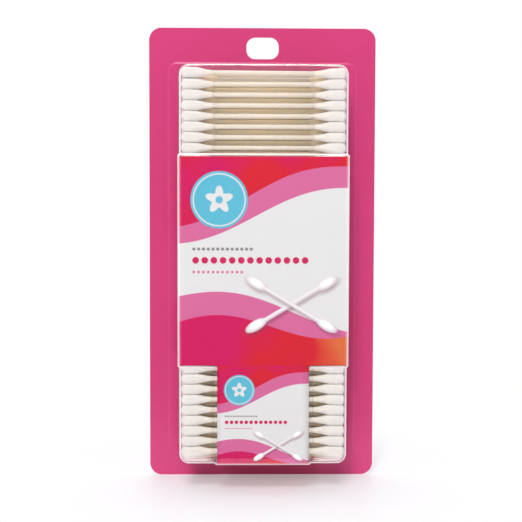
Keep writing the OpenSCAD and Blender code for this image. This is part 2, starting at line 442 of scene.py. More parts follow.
@dataclass(frozen=True)
class PrintedLabel:
    """Gloss art paper with a generic wave design, printed in four colours.

    Soft-edged fields of magenta, red and orange sweep over white, each with a pale pink
    band along its edge, and a plain cyan disc with a blossom sits on the upper field. The
    design is laid out in millimetres from the upper middle of its panel, then scaled.
    """

    name: str
    top_mm: float
    scale: float = 1.0
    white: str = "#DEDEDD"
    magenta: str = "#CB145C"
    red: str = "#D11E2E"
    orange: str = "#DA6C3C"
    pale: str = "#D16898"
    cyan: str = "#5CB7CF"
    fibre_mm: float = 1.2  # bundles of fibres, since a single one is too fine to show
    fibre_depth_mm: float = 0.01
    drift_per_mm: float = 0.035  # how many times a millimetre the inks pass into each other
    sweep: float = 0.014  # how much warmer the lower field gets with each millimetre to the right
    red_above: tuple[float, float] = (0.4, 0.6)  # levels over which magenta turns to red
    red_below: tuple[float, float] = (0.25, 0.6)  # the same in the lower field
    orange_below: tuple[float, float] = (0.7, 1.05)  # and its red to orange
    upper_band: WaveEdge = WaveEdge(level=-17.0, slope=0.30, swing=4.5, length=96.0, start=0.5)
    middle_field: WaveEdge = WaveEdge(level=-27.0, slope=0.22, swing=5.5, length=110.0, start=0.2)
    lower_band: WaveEdge = WaveEdge(level=-71.0, slope=-0.10, swing=6.5, length=120.0, start=2.4)
    lower_field: WaveEdge = WaveEdge(level=-79.0, slope=0.02, swing=6.0, length=104.0, start=2.9)
    dots: tuple[DotRow, ...] = (
        DotRow(left=-32.0, level=-43.0, count=13, step=2.2, wide=1.5, ink="#8C8889"),
        DotRow(left=-31.2, level=-48.2, count=13, step=4.2, wide=3.1, ink="#C8225C"),
        DotRow(left=-32.0, level=-53.6, count=11, step=2.2, wide=1.3, ink="#D2779B"),
    )
    dot_soft: float = 0.15
    swabs_at: tuple[float, float] = (13.0, -68.5)
    swab_turns: tuple[float, float] = (31.0, 149.0)  # degrees
    stick_half: tuple[float, float] = (19.0, 0.95)  # half a printed stick's length and width
    head_r: float = 2.3
    head_slim: float = 0.42  # a printed head's width over its length
    drop_aside: float = 0.4  # how far a pass moves aside, as a share of its drop
    passes: tuple[SwabPass, ...] = (
        SwabPass(drop=1.5, grow=0.0, soft=1.0, ink="#7E3A56", cover=0.55),
        SwabPass(drop=0.0, grow=0.0, soft=0.2, ink="#D6CCD0", cover=1.0),
        SwabPass(drop=-0.35, grow=-0.75, soft=0.7, ink="#FFFFFF", cover=1.0),
    )
    disc_at: tuple[float, float] = (-20.4, -20.4)
    disc_r: float = 13.2
    disc_soft: float = 0.2
    ring_in: float = 1.3  # how far inside the disc's edge its white ring runs
    ring_half: float = 0.3
    petals: float = 5.0
    petal_r: float = 5.0  # the blossom's mean radius
    petal_swing: float = 1.5  # how far its edge goes in and out
    eye_r: float = 1.7

    def make(self) -> Material:
        """Builds the print on the label's own UV map, which follows the folded paper.

        Returns:
            The material.
        """
        material = blank_material(self.name)
        tree = material.node_tree
        uv = add(tree, "SeparateXYZ", {0: add(tree, "UVMap")["UV"]})
        u = add(tree, "Math", {0: uv["X"], 1: UV_MM / self.scale}, operation="MULTIPLY")[0]
        v = add(
            tree, "Math", {0: uv["Y"], 1: UV_MM / self.scale, 2: -self.top_mm / self.scale},
            operation="MULTIPLY_ADD",
        )[0]
        colour = self.fields(tree, u, v)
        colour = self.beads(tree, u, v, colour)
        colour = self.swab_pair(tree, u, v, colour)
        colour = self.disc(tree, u, v, colour)
        place = add(tree, "TexCoord")["Object"]
        fibre = add(tree, "TexNoise", {"Vector": place, "Scale": per_metre(self.fibre_mm), "Detail": 3.0})[0]
        bump = add(tree, "Bump", {"Height": fibre, "Strength": 0.3, "Distance": self.fibre_depth_mm * MM})[0]
        shader = add(
            tree, "BsdfPrincipled",
            {"Base Color": colour, "Roughness": 0.42, "Normal": bump, "Specular IOR Level": 0.3},
        )[0]
        add(tree, "OutputMaterial", {"Surface": shader})
        return material

    def graded(self, tree: Tree, level: Socket, *steps: tuple[float, float, str]) -> Socket:
        """Grades magenta into further inks as a level rises.

        Args:
            tree: The node tree.
            level: The level.
            steps: For each further ink, the levels over which it takes over, and its colour.

        Returns:
            The colour's socket.
        """
        colour = linear(self.magenta)
        for low, high, ink in steps:
            share = add(tree, "MapRange", {0: level, 1: low, 2: high})[0]
            colour = add(tree, "Mix", {0: share, 6: colour, 7: linear(ink)}, data_type="RGBA")[2]
        return colour

    def fields(self, tree: Tree, u: Socket, v: Socket) -> Socket:
        """Paints the colour fields, from the top of the panel to its foot.

        Args:
            tree: The node tree.
            u: Millimetres across the panel.
            v: Millimetres up from its top.

        Returns:
            The colour's socket.
        """
        flow = add(tree, "CombineXYZ", {0: u, 1: v})[0]
        drift = add(tree, "TexNoise", {"Vector": flow, "Scale": self.drift_per_mm, "Detail": 1.5})[0]
        sweep = add(tree, "Math", {0: u, 1: self.sweep, 2: drift}, operation="MULTIPLY_ADD")[0]
        colour = self.graded(tree, drift, (*self.red_above, self.red))
        lower = self.graded(tree, sweep, (*self.red_below, self.red), (*self.orange_below, self.orange))
        for edge, paint in (
            (self.upper_band, linear(self.pale)),
            (self.middle_field, linear(self.white)),
            (self.lower_band, linear(self.pale)),
            (self.lower_field, lower),
        ):
            mask = edge.mask(tree, u, v)
            colour = add(tree, "Mix", {0: mask, 6: colour, 7: paint}, data_type="RGBA")[2]
        return colour

    def beads(self, tree: Tree, u: Socket, v: Socket, colour: Socket) -> Socket:
        """Prints rows of plain dots: distance from the nearest of a row's even places.

        Args:
            tree: The node tree.
            u: Millimetres across the panel.
            v: Millimetres up from its top.
            colour: The colour below.

        Returns:
            The colour's socket.
        """
        for row in self.dots:
            place = add(tree, "Math", {0: u, 1: row.left}, operation="SUBTRACT")[0]
            place = add(tree, "Math", {0: place, 1: 1 / row.step}, operation="MULTIPLY")[0]
            near = add(tree, "Math", {0: place}, operation="ROUND")[0]
            near = add(tree, "Clamp", {0: near, 1: 0.0, 2: row.count - 1.0})[0]
            x = add(tree, "Math", {0: place, 1: near}, operation="SUBTRACT")[0]
            x = add(tree, "Math", {0: x, 1: row.step}, operation="MULTIPLY")[0]
            y = add(tree, "Math", {0: v, 1: row.level}, operation="SUBTRACT")[0]
            spot = add(tree, "CombineXYZ", {0: x, 1: y})[0]
            r = add(tree, "VectorMath", {0: spot}, operation="LENGTH")["Value"]
            ends = {1: row.wide / 2 + self.dot_soft, 2: row.wide / 2 - self.dot_soft}
            mask = add(tree, "MapRange", {0: r, **ends})[0]
            colour = add(tree, "Mix", {0: mask, 6: colour, 7: linear(row.ink)}, data_type="RGBA")[2]
        return colour

    def swab_pair(self, tree: Tree, u: Socket, v: Socket, colour: Socket) -> Socket:
        """Draws a crossed pair of swabs over the lower field.

        Each is a thin bar with an ellipse at either end, drawn in passes: its soft shadow
        below, a rim in the shade, and the white of its lit middle.

        Args:
            tree: The node tree.
            u: Millimetres across the panel.
            v: Millimetres up from its top.
            colour: The colour below.

        Returns:
            The colour's socket.
        """
        for turn in self.swab_turns:
            back = -math.radians(turn)
            for swab in self.passes:
                aside = self.swabs_at[0] + swab.drop * self.drop_aside
                x = add(tree, "Math", {0: u, 1: aside}, operation="SUBTRACT")[0]
                y = add(tree, "Math", {0: v, 1: self.swabs_at[1] - swab.drop}, operation="SUBTRACT")[0]
                spot = add(tree, "CombineXYZ", {0: x, 1: y})[0]
                spot = add(tree, "VectorRotate", {"Vector": spot, "Angle": back}, rotation_type="Z_AXIS")[0]
                at = add(tree, "SeparateXYZ", {0: spot})
                far = add(tree, "Math", {0: at[0]}, operation="ABSOLUTE")[0]
                end = add(tree, "Math", {0: far, 1: self.stick_half[0]}, operation="SUBTRACT")[0]
                long = add(tree, "Math", {0: end, 1: self.head_slim}, operation="MULTIPLY")[0]
                head = add(tree, "CombineXYZ", {0: long, 1: at[1]})[0]
                head = add(tree, "VectorMath", {0: head}, operation="LENGTH")["Value"]
                head = add(tree, "Math", {0: head, 1: self.head_r}, operation="SUBTRACT")[0]
                side = add(tree, "Math", {0: at[1]}, operation="ABSOLUTE")[0]
                side = add(tree, "Math", {0: side, 1: self.stick_half[1]}, operation="SUBTRACT")[0]
                bar = add(tree, "Math", {0: side, 1: end}, operation="MAXIMUM")[0]
                shape = add(tree, "Math", {0: bar, 1: head}, operation="MINIMUM")[0]
                ends = {1: swab.grow + swab.soft, 2: swab.grow - swab.soft}
                mask = add(tree, "MapRange", {0: shape, **ends, 4: swab.cover})[0]
                colour = add(tree, "Mix", {0: mask, 6: colour, 7: linear(swab.ink)}, data_type="RGBA")[2]
        return colour

    def disc(self, tree: Tree, u: Socket, v: Socket, colour: Socket) -> Socket:
        """Draws the cyan disc, a thin white ring in it, and a blossom whose edge lies at
        petal_r + petal_swing cos(petals angle - pi / 2), so that one petal stands upright.

        Args:
            tree: The node tree.
            u: Millimetres across the panel.
            v: Millimetres up from its top.
            colour: The colour below.

        Returns:
            The colour's socket.
        """
        x = add(tree, "Math", {0: u, 1: self.disc_at[0]}, operation="SUBTRACT")[0]
        y = add(tree, "Math", {0: v, 1: self.disc_at[1]}, operation="SUBTRACT")[0]
        spot = add(tree, "CombineXYZ", {0: x, 1: y})[0]
        r = add(tree, "VectorMath", {0: spot}, operation="LENGTH")["Value"]
        angle = add(tree, "Math", {0: y, 1: x}, operation="ARCTAN2")[0]
        angle = add(tree, "Math", {0: angle, 1: self.petals, 2: -math.pi / 2}, operation="MULTIPLY_ADD")[0]
        wave = add(tree, "Math", {0: angle}, operation="COSINE")[0]
        terms = {0: wave, 1: self.petal_swing, 2: self.petal_r}
        petals = add(tree, "Math", terms, operation="MULTIPLY_ADD")[0]
        blossom = add(tree, "Math", {0: r, 1: petals}, operation="SUBTRACT")[0]
        ring = add(tree, "Math", {0: r, 1: self.disc_r - self.ring_in}, operation="SUBTRACT")[0]
        ring = add(tree, "Math", {0: ring}, operation="ABSOLUTE")[0]
        for gap, edge, ink in (
            (r, self.disc_r, self.cyan),
            (ring, self.ring_half, self.white),
            (blossom, 0.0, self.white),
            (r, self.eye_r, self.cyan),
        ):
            mask = add(tree, "MapRange", {0: gap, 1: edge + self.disc_soft, 2: edge - self.disc_soft})[0]
            colour = add(tree, "Mix", {0: mask, 6: colour, 7: linear(ink)}, data_type="RGBA")[2]
        return colour


@dataclass(frozen=True)
class StudioFloor:
    """A polished white acrylic table top that runs out into a white background.

    It takes the pack's soft shadow and a blurred reflection close to it.
    """

    name: str = "white_acrylic_table"
    white: str = "#F6F5FC"
    roughness: float = 0.42
    near_mm: float = 20.0
    far_mm: float = 136.0
    lift: float = 0.27  # share of plain white at the pack's foot
    wide: float = 0.75  # how much slower the white comes in sideways than forwards

    def make(self) -> Material:
        """Builds the floor's material.

        Returns:
            The material.
        """
        material = blank_material(self.name)
        tree = material.node_tree
        lit = add(
            tree, "BsdfPrincipled",
            {"Base Color": linear(self.white), "Roughness": self.roughness, "IOR": 1.35},
        )[0]
        place = add(tree, "TexCoord")["Object"]
        flat = add(tree, "VectorMath", {0: place, 1: (self.wide, 1.0, 0.0)}, operation="MULTIPLY")[0]
        away = add(tree, "VectorMath", {0: flat}, operation="LENGTH")["Value"]
        out = add(
            tree, "MapRange",
            {0: away, 1: self.near_mm * MM, 2: self.far_mm * MM, 3: self.lift, 4: 1.0},
            interpolation_type="SMOOTHSTEP",
        )[0]
        share = add(tree, "Math", {0: out, 1: seen_directly(tree)}, operation="MULTIPLY")[0]
        white = add(tree, "Emission", {"Color": linear("#FFFFFF"), "Strength": 1.0})[0]
        shader = add(tree, "MixShader", {0: share, 1: lit, 2: white})[0]
        add(tree, "OutputMaterial", {"Surface": shader})
        return material


def seen_directly(tree: Tree) -> Socket:
    """1 for rays by which the camera sees the background, straight or by way of gloss and glass.

    Args:
        tree: The node tree.

    Returns:
        The factor's socket.
    """
    path = add(tree, "LightPath")
    seen = add(tree, "Math", {0: path["Is Camera Ray"], 1: path["Is Glossy Ray"]}, operation="MAXIMUM")[0]
    return add(tree, "Math", {0: seen, 1: path["Is Transmission Ray"]}, operation="MAXIMUM")[0]


# Meshes


def quads(number: Array) -> Array:
    """The corners of a grid's faces: point (i, j), then its neighbours by row and column.

    Args:
        number: The points' numbers, in rows and columns.

    Returns:
        Four numbers for each face.
    """
    corners = [number[:-1, :-1], number[1:, :-1], number[1:, 1:], number[:-1, 1:]]
    return np.stack(corners, -1).reshape(-1, 4)


@dataclass
class Draft:
    """Surfaces gathered for one piece: numpy grids and flat faces, then one mesh."""

    points: list[Array] = field(default_factory=list)
    uvs: list[Array] = field(default_factory=list)
    faces: list[list[int]] = field(default_factory=list)
    marks: list[int] = field(default_factory=list)
    smooth: list[bool] = field(default_factory=list)

    def start(self, points: Array, uv: Array | None = None) -> int:
        """Adds points in millimetres.

        Args:
            points: Rows of X, Y and Z.
            uv: Their places on the UV map, in millimetres.

        Returns:
            The number of the first one.
        """
        first = sum(len(p) for p in self.points)
        self.points.append(points)
        self.uvs.append(np.zeros((len(points), 2)) if uv is None else uv)
        return first

    def grid(self, points: Array, wrap: bool = False, mark: int = 0, smooth: bool = True,
             uv: Array | None = None) -> None:
        """Adds a grid of points and the faces between them.

        Args:
            points: Rows by columns by 3.
            wrap: Whether the last column joins the first.
            mark: Material number.
            smooth: Whether the faces are shaded smooth.
            uv: Rows by columns by 2, in millimetres.
        """
        rows, cols = points.shape[:2]
        first = self.start(points.reshape(-1, 3), None if uv is None else uv.reshape(-1, 2))
        number = first + np.arange(rows * cols).reshape(rows, cols)
        if wrap:
            number = np.concatenate([number, number[:, :1]], 1)
        faces = quads(number).tolist()
        self.faces += faces
        self.marks += [mark] * len(faces)
        self.smooth += [smooth] * len(faces)

    def flat(self, rings: list[Array], mark: int = 0) -> None:
        """Fills the plane figure between an outer ring and the rings of its holes.

        Args:
            rings: Rings of points, the outer one first.
            mark: Material number.
        """
        first = self.start(np.concatenate(rings))
        triangles = tessellate_polygon([[Vector(p) for p in ring] for ring in rings])
        self.faces += [[first + k for k in triangle] for triangle in triangles]
        self.marks += [mark] * len(triangles)
        self.smooth += [False] * len(triangles)

    def cap(self, ring: Array) -> None:
        """Closes a ring with one smooth face.

        Args:
            ring: The ring's points.
        """
        first = self.start(ring)
        self.faces.append(list(range(first, first + len(ring))))
        self.marks.append(0)
        self.smooth.append(True)

    def finish(self, name: str, materials: list[Material], replaces: tuple[str, ...],
               closed: bool = True) -> Piece:
        """Makes the piece, closes its seams, and sets it in the frame.

        Args:
            name: The piece's name.
            materials: Its materials, by number.
            replaces: The CAD nodes that it stands for.
            closed: Whether it is a closed body, whose faces are then turned outwards.

        Returns:
            The piece.
        """
        mesh = bpy.data.meshes.new(name)
        mesh.from_pydata(np.concatenate(self.points) * MM, [], self.faces)
        mesh.polygons.foreach_set("material_index", np.array(self.marks, np.int32))
        mesh.polygons.foreach_set("use_smooth", np.array(self.smooth, bool))
        corner = np.empty(len(mesh.loops), np.int32)
        mesh.loops.foreach_get("vertex_index", corner)
        layer = mesh.uv_layers.new(name="UVMap")
        layer.data.foreach_set("uv", (np.concatenate(self.uvs)[corner] / UV_MM).astype(np.float32).ravel())
        work = bmesh.new()
        work.from_mesh(mesh)
        bmesh.ops.remove_doubles(work, verts=work.verts, dist=SEAM)
        if closed:
            bmesh.ops.recalc_face_normals(work, faces=work.faces)
        work.to_mesh(mesh)
        work.free()
        for material in materials:
            mesh.materials.append(material)
        piece = bpy.data.objects.new(name, mesh)
        bpy.context.scene.collection.objects.link(piece)
        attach(piece, "root")
        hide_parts(*replaces)
        log.info("%s: %d faces, stands for %s", name, len(mesh.polygons), ", ".join(replaces))
        return piece


def rounded(half: float, top: float, bottom: float, r: float, y: float, steps: int = 12) -> Array:
    """A rounded rectangle: four quarter circles of radius r, joined by straight sides.

    Args:
        half: Half its width.
        top: Its upper edge.
        bottom: Its lower edge.
        r: Radius of the corners.
        y: Its depth.
        steps: Steps in each corner.

    Returns:
        The ring's points, in X, Y and Z.
    """
    turn = np.radians(np.arange(4)[:, None] * 90 + np.linspace(0, 90, steps + 1)[None, :])
    middle_x = np.array([half - r, r - half, r - half, half - r])[:, None]
    middle_z = np.array([top - r, top - r, bottom + r, bottom + r])[:, None]
    x, z = middle_x + r * np.cos(turn), middle_z + r * np.sin(turn)
    return np.stack([x, np.full_like(x, y), z], -1).reshape(-1, 3)


def spaced(start: float, end: float, step: float) -> Array:
    """Even values from start to end, about step apart."""
    return np.linspace(start, end, max(2, math.ceil(abs(end - start) / step) + 1))


def ramp(t: Array) -> Array:
    """A soft rise from 0 to 1: 6t^5 - 15t^4 + 10t^3 between t = 0 and t = 1."""
    t = np.clip(t, 0, 1)
    return t**3 * (t * (6 * t - 15) + 10)


def ring_angles(around: int) -> Array:
    """The angles of a ring's points: even steps of a full turn, from 0."""
    return 2 * np.pi * np.arange(around) / around


@dataclass(frozen=True)
class PackSizes:
    """The pack's measures, in millimetres, as in the CAD source."""

    swab_len: float = 76.2
    head_d: float = 4.72
    head_len: float = 15.5
    stick_d: float = 2.3
    tip_cover: float = 2.5
    head_gap: float = 0.14
    rows: int = 37
    layers: int = 8
    loose_tilt: float = 0.3
    wall: float = 0.4
    end_gap: float = 0.35
    layer_gap: float = 0.12
    headroom: float = 1.5
    draft: float = 1.5
    corner_r: float = 4.5
    edge_r: float = 1.3
    foot: float = 0.7
    trap_side: float = 4.0
    trap_end: float = 1.25
    flange_r: float = 3.5
    band_drop: float = 41.8
    band_h: float = 99.0
    band_step: float = 0.8
    band_bevel: float = 0.8
    tongue_w: float = 45.0
    paper_t: float = 0.3
    paper_gap: float = 0.06
    flap_gap: float = 1.5
    board_t: float = 0.5
    card_side: float = 8.75
    card_below: float = 8.75
    card_above: float = 9.8
    card_r: float = 6.0
    slope_w: float = 1.4
    window_gap: float = 0.4
    flange_gap: float = 0.1
    hole_w: float = 15.6
    hole_h: float = 10.3
    hole_r: float = 4.2
    tub_drop: float = 10.5

    def spread(self, depth: float | Array) -> float | Array:
        """How far a drafted wall spreads at a depth behind the tub's front."""
        return depth * math.tan(math.radians(self.draft))

    @property
    def pitch(self) -> float:
        """Distance between neighbouring swabs of a layer."""
        return self.head_d + self.head_gap

    @property
    def layer_pitch(self) -> float:
        """Distance between nested layers."""
        return self.pitch * math.sin(math.radians(60))

    @property
    def base_s(self) -> float:
        """Depth of the flange's front face behind the tub's front."""
        return (self.layers - 1) * self.layer_pitch + self.head_d + 2 * self.layer_gap

    @property
    def front_y(self) -> float:
        """The tub's front face."""
        return -(self.board_t + self.base_s + self.wall)

    @property
    def flange_y(self) -> float:
        """The flange's front face."""
        return -(self.board_t + self.wall)

    @property
    def half(self) -> float:
        """Half the tub's width at its front."""
        return self.swab_len / 2 + self.end_gap + self.wall

    @property
    def top(self) -> float:
        """The tub's upper edge at its front."""
        return -self.tub_drop - self.spread(self.base_s)

    @property
    def second_s(self) -> float:
        """Depth of the second layer's swabs behind the tub's inner front."""
        return self.layer_gap + self.head_d / 2 + self.layer_pitch

    @property
    def stack_lift(self) -> float:
        """How far the tub's rounded corners lift the second layer's lowest swab: the rise
        of the corner's arc at the gap beside the swab's end.

        Returns:
            The lift.
        """
        play = self.corner_r - self.wall - self.head_d / 2
        gap = min(self.end_gap + self.spread(self.second_s), play)
        return play - math.sqrt(max(0.0, gap * (2 * play - gap)))

    @property
    def bottom(self) -> float:
        """The tub's lower edge at its front, as far down as the stack and its headroom reach.

        Returns:
            Its height.
        """
        stack = (self.head_d + self.stack_lift - self.spread(self.second_s)
                 + (self.rows - 0.5) * self.pitch + self.headroom)
        return self.top - 2 * self.wall - stack

    @property
    def second_z(self) -> float:
        """Height of the second layer's lowest swab."""
        floor = self.bottom + self.wall - self.spread(self.second_s)
        return floor + self.stack_lift + self.head_d / 2

    @property
    def band_top(self) -> float:
        """The raised band's upper edge."""
        return -self.tub_drop - self.band_drop

    @property
    def band_bottom(self) -> float:
        """The raised band's lower edge."""
        return self.band_top - self.band_h

    @property
    def window(self) -> float:
        """How far the card's window lies outside the tub's base."""
        return max(self.foot, self.band_step) + self.window_gap

    def at_card(self, side: float, end: float, r: float, y: float) -> Array:
        """The tub's outline at the card, grown by side and end.

        Args:
            side: Growth at the sides.
            end: Growth above and below.
            r: Radius of the corners.
            y: Depth of the ring.

        Returns:
            The ring's points.
        """
        grow = self.spread(self.base_s)
        return rounded(self.half + grow + side, self.top + grow + end, self.bottom - grow - end, r, y)


# The pack


@dataclass
class HangCard:
    """Two boards sealed face to face, the front one embossed over the tub's flange."""

    sizes: PackSizes
    burr: float = 0.06  # how far the cut rounds the board's edges
    rim: float = 0.3  # where the rounded edge's middle lies, as a share of the burr
    slope_step: float = 0.1  # share of the slope between its rings
    beside: tuple[float, ...] = (-0.5, -0.15, 1.15)  # rings that keep the flats beside it flat

    def ring(self, grow: float, y: float) -> Array:
        """The card's outer edge: the tub's outline at the card, with the slope and the
        margins round it.

        Args:
            grow: How much the ring is grown.
            y: Its depth.

        Returns:
            The ring's points.
        """
        s = self.sizes
        slope_end = s.window + s.trap_end + s.slope_w
        slope_side = s.window + s.trap_side + s.slope_w
        spread = s.spread(s.base_s)
        return rounded(
            s.half + spread + slope_side + s.card_side + grow,
            s.card_above + grow,
            s.bottom - spread - slope_end - s.card_below - grow,
            s.card_r + grow,
            y,
        )

    def hole(self, grow: float, y: float) -> Array:
        """The hang hole's edge, grown by grow."""
        s = self.sizes
        return rounded(s.hole_w / 2 + grow, s.hole_h / 2 + grow, -s.hole_h / 2 - grow, s.hole_r + grow, y)

    def cut_edges(self, draft: Draft, y0: float, y1: float) -> None:
        """Adds the cut edges of one board between its faces at y0 and y1, with rounded rims.

        Args:
            draft: The board's draft.
            y0: The front face.
            y1: The back face.
        """
        b, m = self.burr, self.burr * self.rim
        steps = ((-b, y0), (-m, y0 + m), (0.0, y0 + b), (0.0, y1 - b), (-m, y1 - m), (-b, y1))
        draft.grid(np.stack([self.ring(g, y) for g, y in steps]), wrap=True, mark=1)
        draft.grid(np.stack([self.hole(-g, y) for g, y in steps]), wrap=True, mark=1)

    def back(self, printed: Material, pulp: Material, inner: Material) -> Piece:
        """Makes the flat back board.

        Args:
            printed: The printed side's material.
            pulp: The bare board's material.
            inner: The magenta print that faces the tub, made paler as a painted reflection of the clear sheet
                in front of it.

        Returns:
            The piece.
        """
        draft = Draft()
        y0 = -self.sizes.board_t
        draft.flat([self.ring(-self.burr, 0.0), self.hole(self.burr, 0.0)])
        draft.flat([self.ring(-self.burr, y0), self.hole(self.burr, y0)], mark=2)
        self.cut_edges(draft, y0, 0.0)
        return draft.finish("back_board", [printed, pulp, inner], ("back_card",))

    def front(self, printed: Material, pulp: Material) -> Piece:
        """Makes the front board, with its window and the embossed slope over the flange.

        The slope is the outline at the card, grown from the flange to the foot while its
        height follows a soft ramp.

        Args:
            printed: The printed side's material.
            pulp: The bare board's material.

        Returns:
            The piece.
        """
        s, b = self.sizes, self.burr
        draft = Draft()
        y_under, y_face = -s.board_t, -2 * s.board_t
        y_pocket, y_plateau = s.flange_y, s.flange_y - s.board_t
        g = s.flange_gap
        side, end, r = s.window + s.trap_side + g, s.window + s.trap_end + g, s.flange_r + g

        def slope(t: float, low: float, high: float) -> Array:
            """The embossing's ring at the share t of its slope, between two depths."""
            y = high + (low - high) * float(ramp(np.array(t)))
            return s.at_card(side + t * s.slope_w, end + t * s.slope_w, r + t * s.slope_w, y)

        shares = sorted([*self.beside, *spaced(0.0, 1.0, self.slope_step)])
        top = [s.at_card(s.window + b, s.window + b, s.corner_r + s.window + b, y_plateau)]
        top += [slope(t, y_face, y_plateau) for t in shares]
        draft.grid(np.stack(top), wrap=True)
        draft.flat([self.ring(-b, y_face), self.hole(b, y_face), top[-1]])
        below = [slope(t, y_under, y_pocket) for t in spaced(1.0, 0.0, 2 * self.slope_step)]
        window = [
            s.at_card(s.window, s.window, s.corner_r + s.window, y_pocket),
            s.at_card(s.window, s.window, s.corner_r + s.window, y_plateau + b),
            top[0],
        ]
        draft.grid(np.stack(below + window), wrap=True, mark=1)
        draft.flat([self.ring(-b, y_under), self.hole(b, y_under), below[0]], mark=1)
        self.cut_edges(draft, y_face, y_under)
        return draft.finish("front_board", [printed, pulp], ("front_card",))


@dataclass
class BlisterTub:
    """The clear thermoformed tub: front, rounded edges, drafted walls, flare and flange, with
    the T-shaped band raised over them."""

    sizes: PackSizes
    foot_r: float = 0.35  # radius at the foot of the band's bevel
    crest_r: float = 0.5  # radius at its crest
    crest_painted_rim: float = 0.35  # how much of the foot's painted highlight the crest gets
    beside: float = 0.25  # narrow strip beside a bevel that keeps the flat's shading flat
    edge_painted_rim: float = 0.95  # painted highlight on the rounded front edge, at its strongest
    painted_rim_at: float = 36.0  # where that is, in degrees round the edge
    painted_rim_over: float = 22.0  # and over how many degrees it falls away
    # painted highlight along the flare
    flare_painted_rim: float = 0.3
    top_painted_rim_cut: float = 0.75  # how much weaker the painted highlight is along the upper edge
    lower_painted_glow: tuple[float, float, float] = (4.2, 1.0, 0.5)  # painted pale glow above the lower edge, beside the tongue: from, to above the lower edge, and share
    still: float = 30.0  # columns nearer the middle than this don't narrow at the corners
    step: float = 4.0  # width of a face where the sheet is plain
    end_step: float = 1.2  # the same outside the still columns
    tall_step: float = 5.0  # height of a face
    wall_step: float = 6.0  # depth of a face of the drafted wall
    turn_steps: int = 10  # faces round a corner or the front edge
    flare_steps: int = 6
    flange_steps: int = 3

    def bevel(self) -> tuple[Array, Array]:
        """The bevel's section: an arc up from the tub, a straight slope at 45 degrees and an
        arc over to the band.

        Returns:
            Distances along the surface and heights from 0 to 1.
        """
        turn = np.radians(np.linspace(0, 45, 5))
        c = math.cos(math.pi / 4)
        step = self.sizes.band_step
        run = step - (self.foot_r + self.crest_r) * (1 - c)
        foot_x, foot_h = self.foot_r * np.sin(turn), self.foot_r * (1 - np.cos(turn))
        crest_x = foot_x[-1] + run + self.crest_r * (c - np.sin(turn[::-1]))
        crest_h = step - self.crest_r * (1 - np.cos(turn[::-1]))
        x, h = np.concatenate([foot_x, crest_x]), np.concatenate([foot_h, crest_h]) / step
        return x - (x[-1] - self.sizes.band_bevel) / 2, h

    def raised(self, x: Array, z: Array) -> Array:
        """How far the band or tongue is raised at a place, from 0 to 1.

        Args:
            x: Places across.
            z: Places up.

        Returns:
            The shares.
        """
        s = self.sizes
        run, height = self.bevel()
        band = np.interp(np.minimum(z - s.band_bottom, s.band_top - z), run, height)
        tongue = np.interp(s.tongue_w / 2 - np.abs(x), run, height)
        return np.maximum(band, np.where(z < s.band_bottom + s.band_bevel * 2, tongue, 0.0))

    def painted_bevel_rim(self, x: Array, z: Array) -> Array:
        """How much painted highlight a place on the band's bevel gets, outside the tongue, from 0 to 1.

        Args:
            x: Places across.
            z: Places up.

        Returns:
            The shares.
        """
        s = self.sizes
        run, _ = self.bevel()
        crest = len(run) // 2
        ends, on = run[[0, crest - 1, crest, -1]], [0.0, 1.0, self.crest_painted_rim, 0.0]
        band = np.interp(np.minimum(z - s.band_bottom, s.band_top - z), ends, on)
        inside = np.interp(s.tongue_w / 2 - np.abs(x), run, np.linspace(0, 1, len(run)))
        return np.where(z < s.band_bottom + s.band_bevel * 2, band * (1 - inside), band)

    def make(self, sheet: Material) -> Piece:
        """Makes the tub. The front is a grid whose outer columns follow the corners; the
        rest is that grid's border, carried along the wall's profile.

        Args:
            sheet: The clear sheet's material.

        Returns:
            The piece.
        """
        s = self.sizes
        half, top, bottom, r = s.half - s.edge_r, s.top - s.edge_r, s.bottom + s.edge_r, s.corner_r - s.edge_r
        run, _ = self.bevel()
        run = np.concatenate([[run[0] - self.beside], run, [run[-1] + self.beside]])
        arc = r * np.sin(np.radians(np.linspace(0, 90, self.turn_steps + 1)))
        z = np.unique(np.round(np.concatenate([
            top - r + arc, bottom + r - arc, s.band_top - run, s.band_bottom + run,
            spaced(top - r, s.band_top - run[0], self.tall_step),
            spaced(s.band_top - run[-1], s.band_bottom + run[-1], self.tall_step),
            spaced(s.band_bottom + run[0], bottom + r, self.tall_step),
        ]), 5))[::-1]
        edge = s.tongue_w / 2 - run
        right = np.unique(np.round(np.concatenate([
            edge, spaced(0, edge[-1], self.step), spaced(edge[0], self.still, self.step),
            spaced(self.still, half, self.end_step),
        ]), 5))
        x = np.concatenate([-right[:0:-1], right])
        rise = np.clip(np.maximum(z - (top - r), (bottom + r) - z), 0, r) / r
        lean = np.arcsin(rise)
        narrow = half - r * (1 - np.cos(lean))
        outer = (np.abs(x)[None, :] - self.still) / (half - self.still)
        place = np.where(
            np.abs(x)[None, :] <= self.still,
            x[None, :],
            np.sign(x)[None, :] * (self.still + outer * (narrow[:, None] - self.still)),
        )
        height = np.broadcast_to(z[:, None], place.shape)
        lift = self.raised(place, height) * s.band_step
        front = np.stack([place, s.front_y - lift, height], -1)
        draft = Draft()
        # A painted pale glow over the sheet above its lower edge, beside the tongue, by the same pale shader
        # as the painted highlights.
        far, near, share = self.lower_painted_glow
        low = ramp((s.bottom + far - height) / (far - near)) * share
        low = np.where(np.abs(place) > s.tongue_w / 2 + s.band_bevel, low, 0.0)
        painted_rim = np.maximum(self.painted_bevel_rim(place, height), low)
        draft.grid(front, uv=np.stack([painted_rim, 0 * painted_rim], -1) * UV_MM)
        self.skirt(draft, place, height, lean)
        piece = draft.finish("thermoformed_tub", [sheet], ("clear_tub",), closed=False)
        thick = piece.modifiers.new("sheet_thickness", "SOLIDIFY")
        thick.thickness, thick.offset, thick.use_even_offset = s.wall * MM, -1.0, True
        return piece

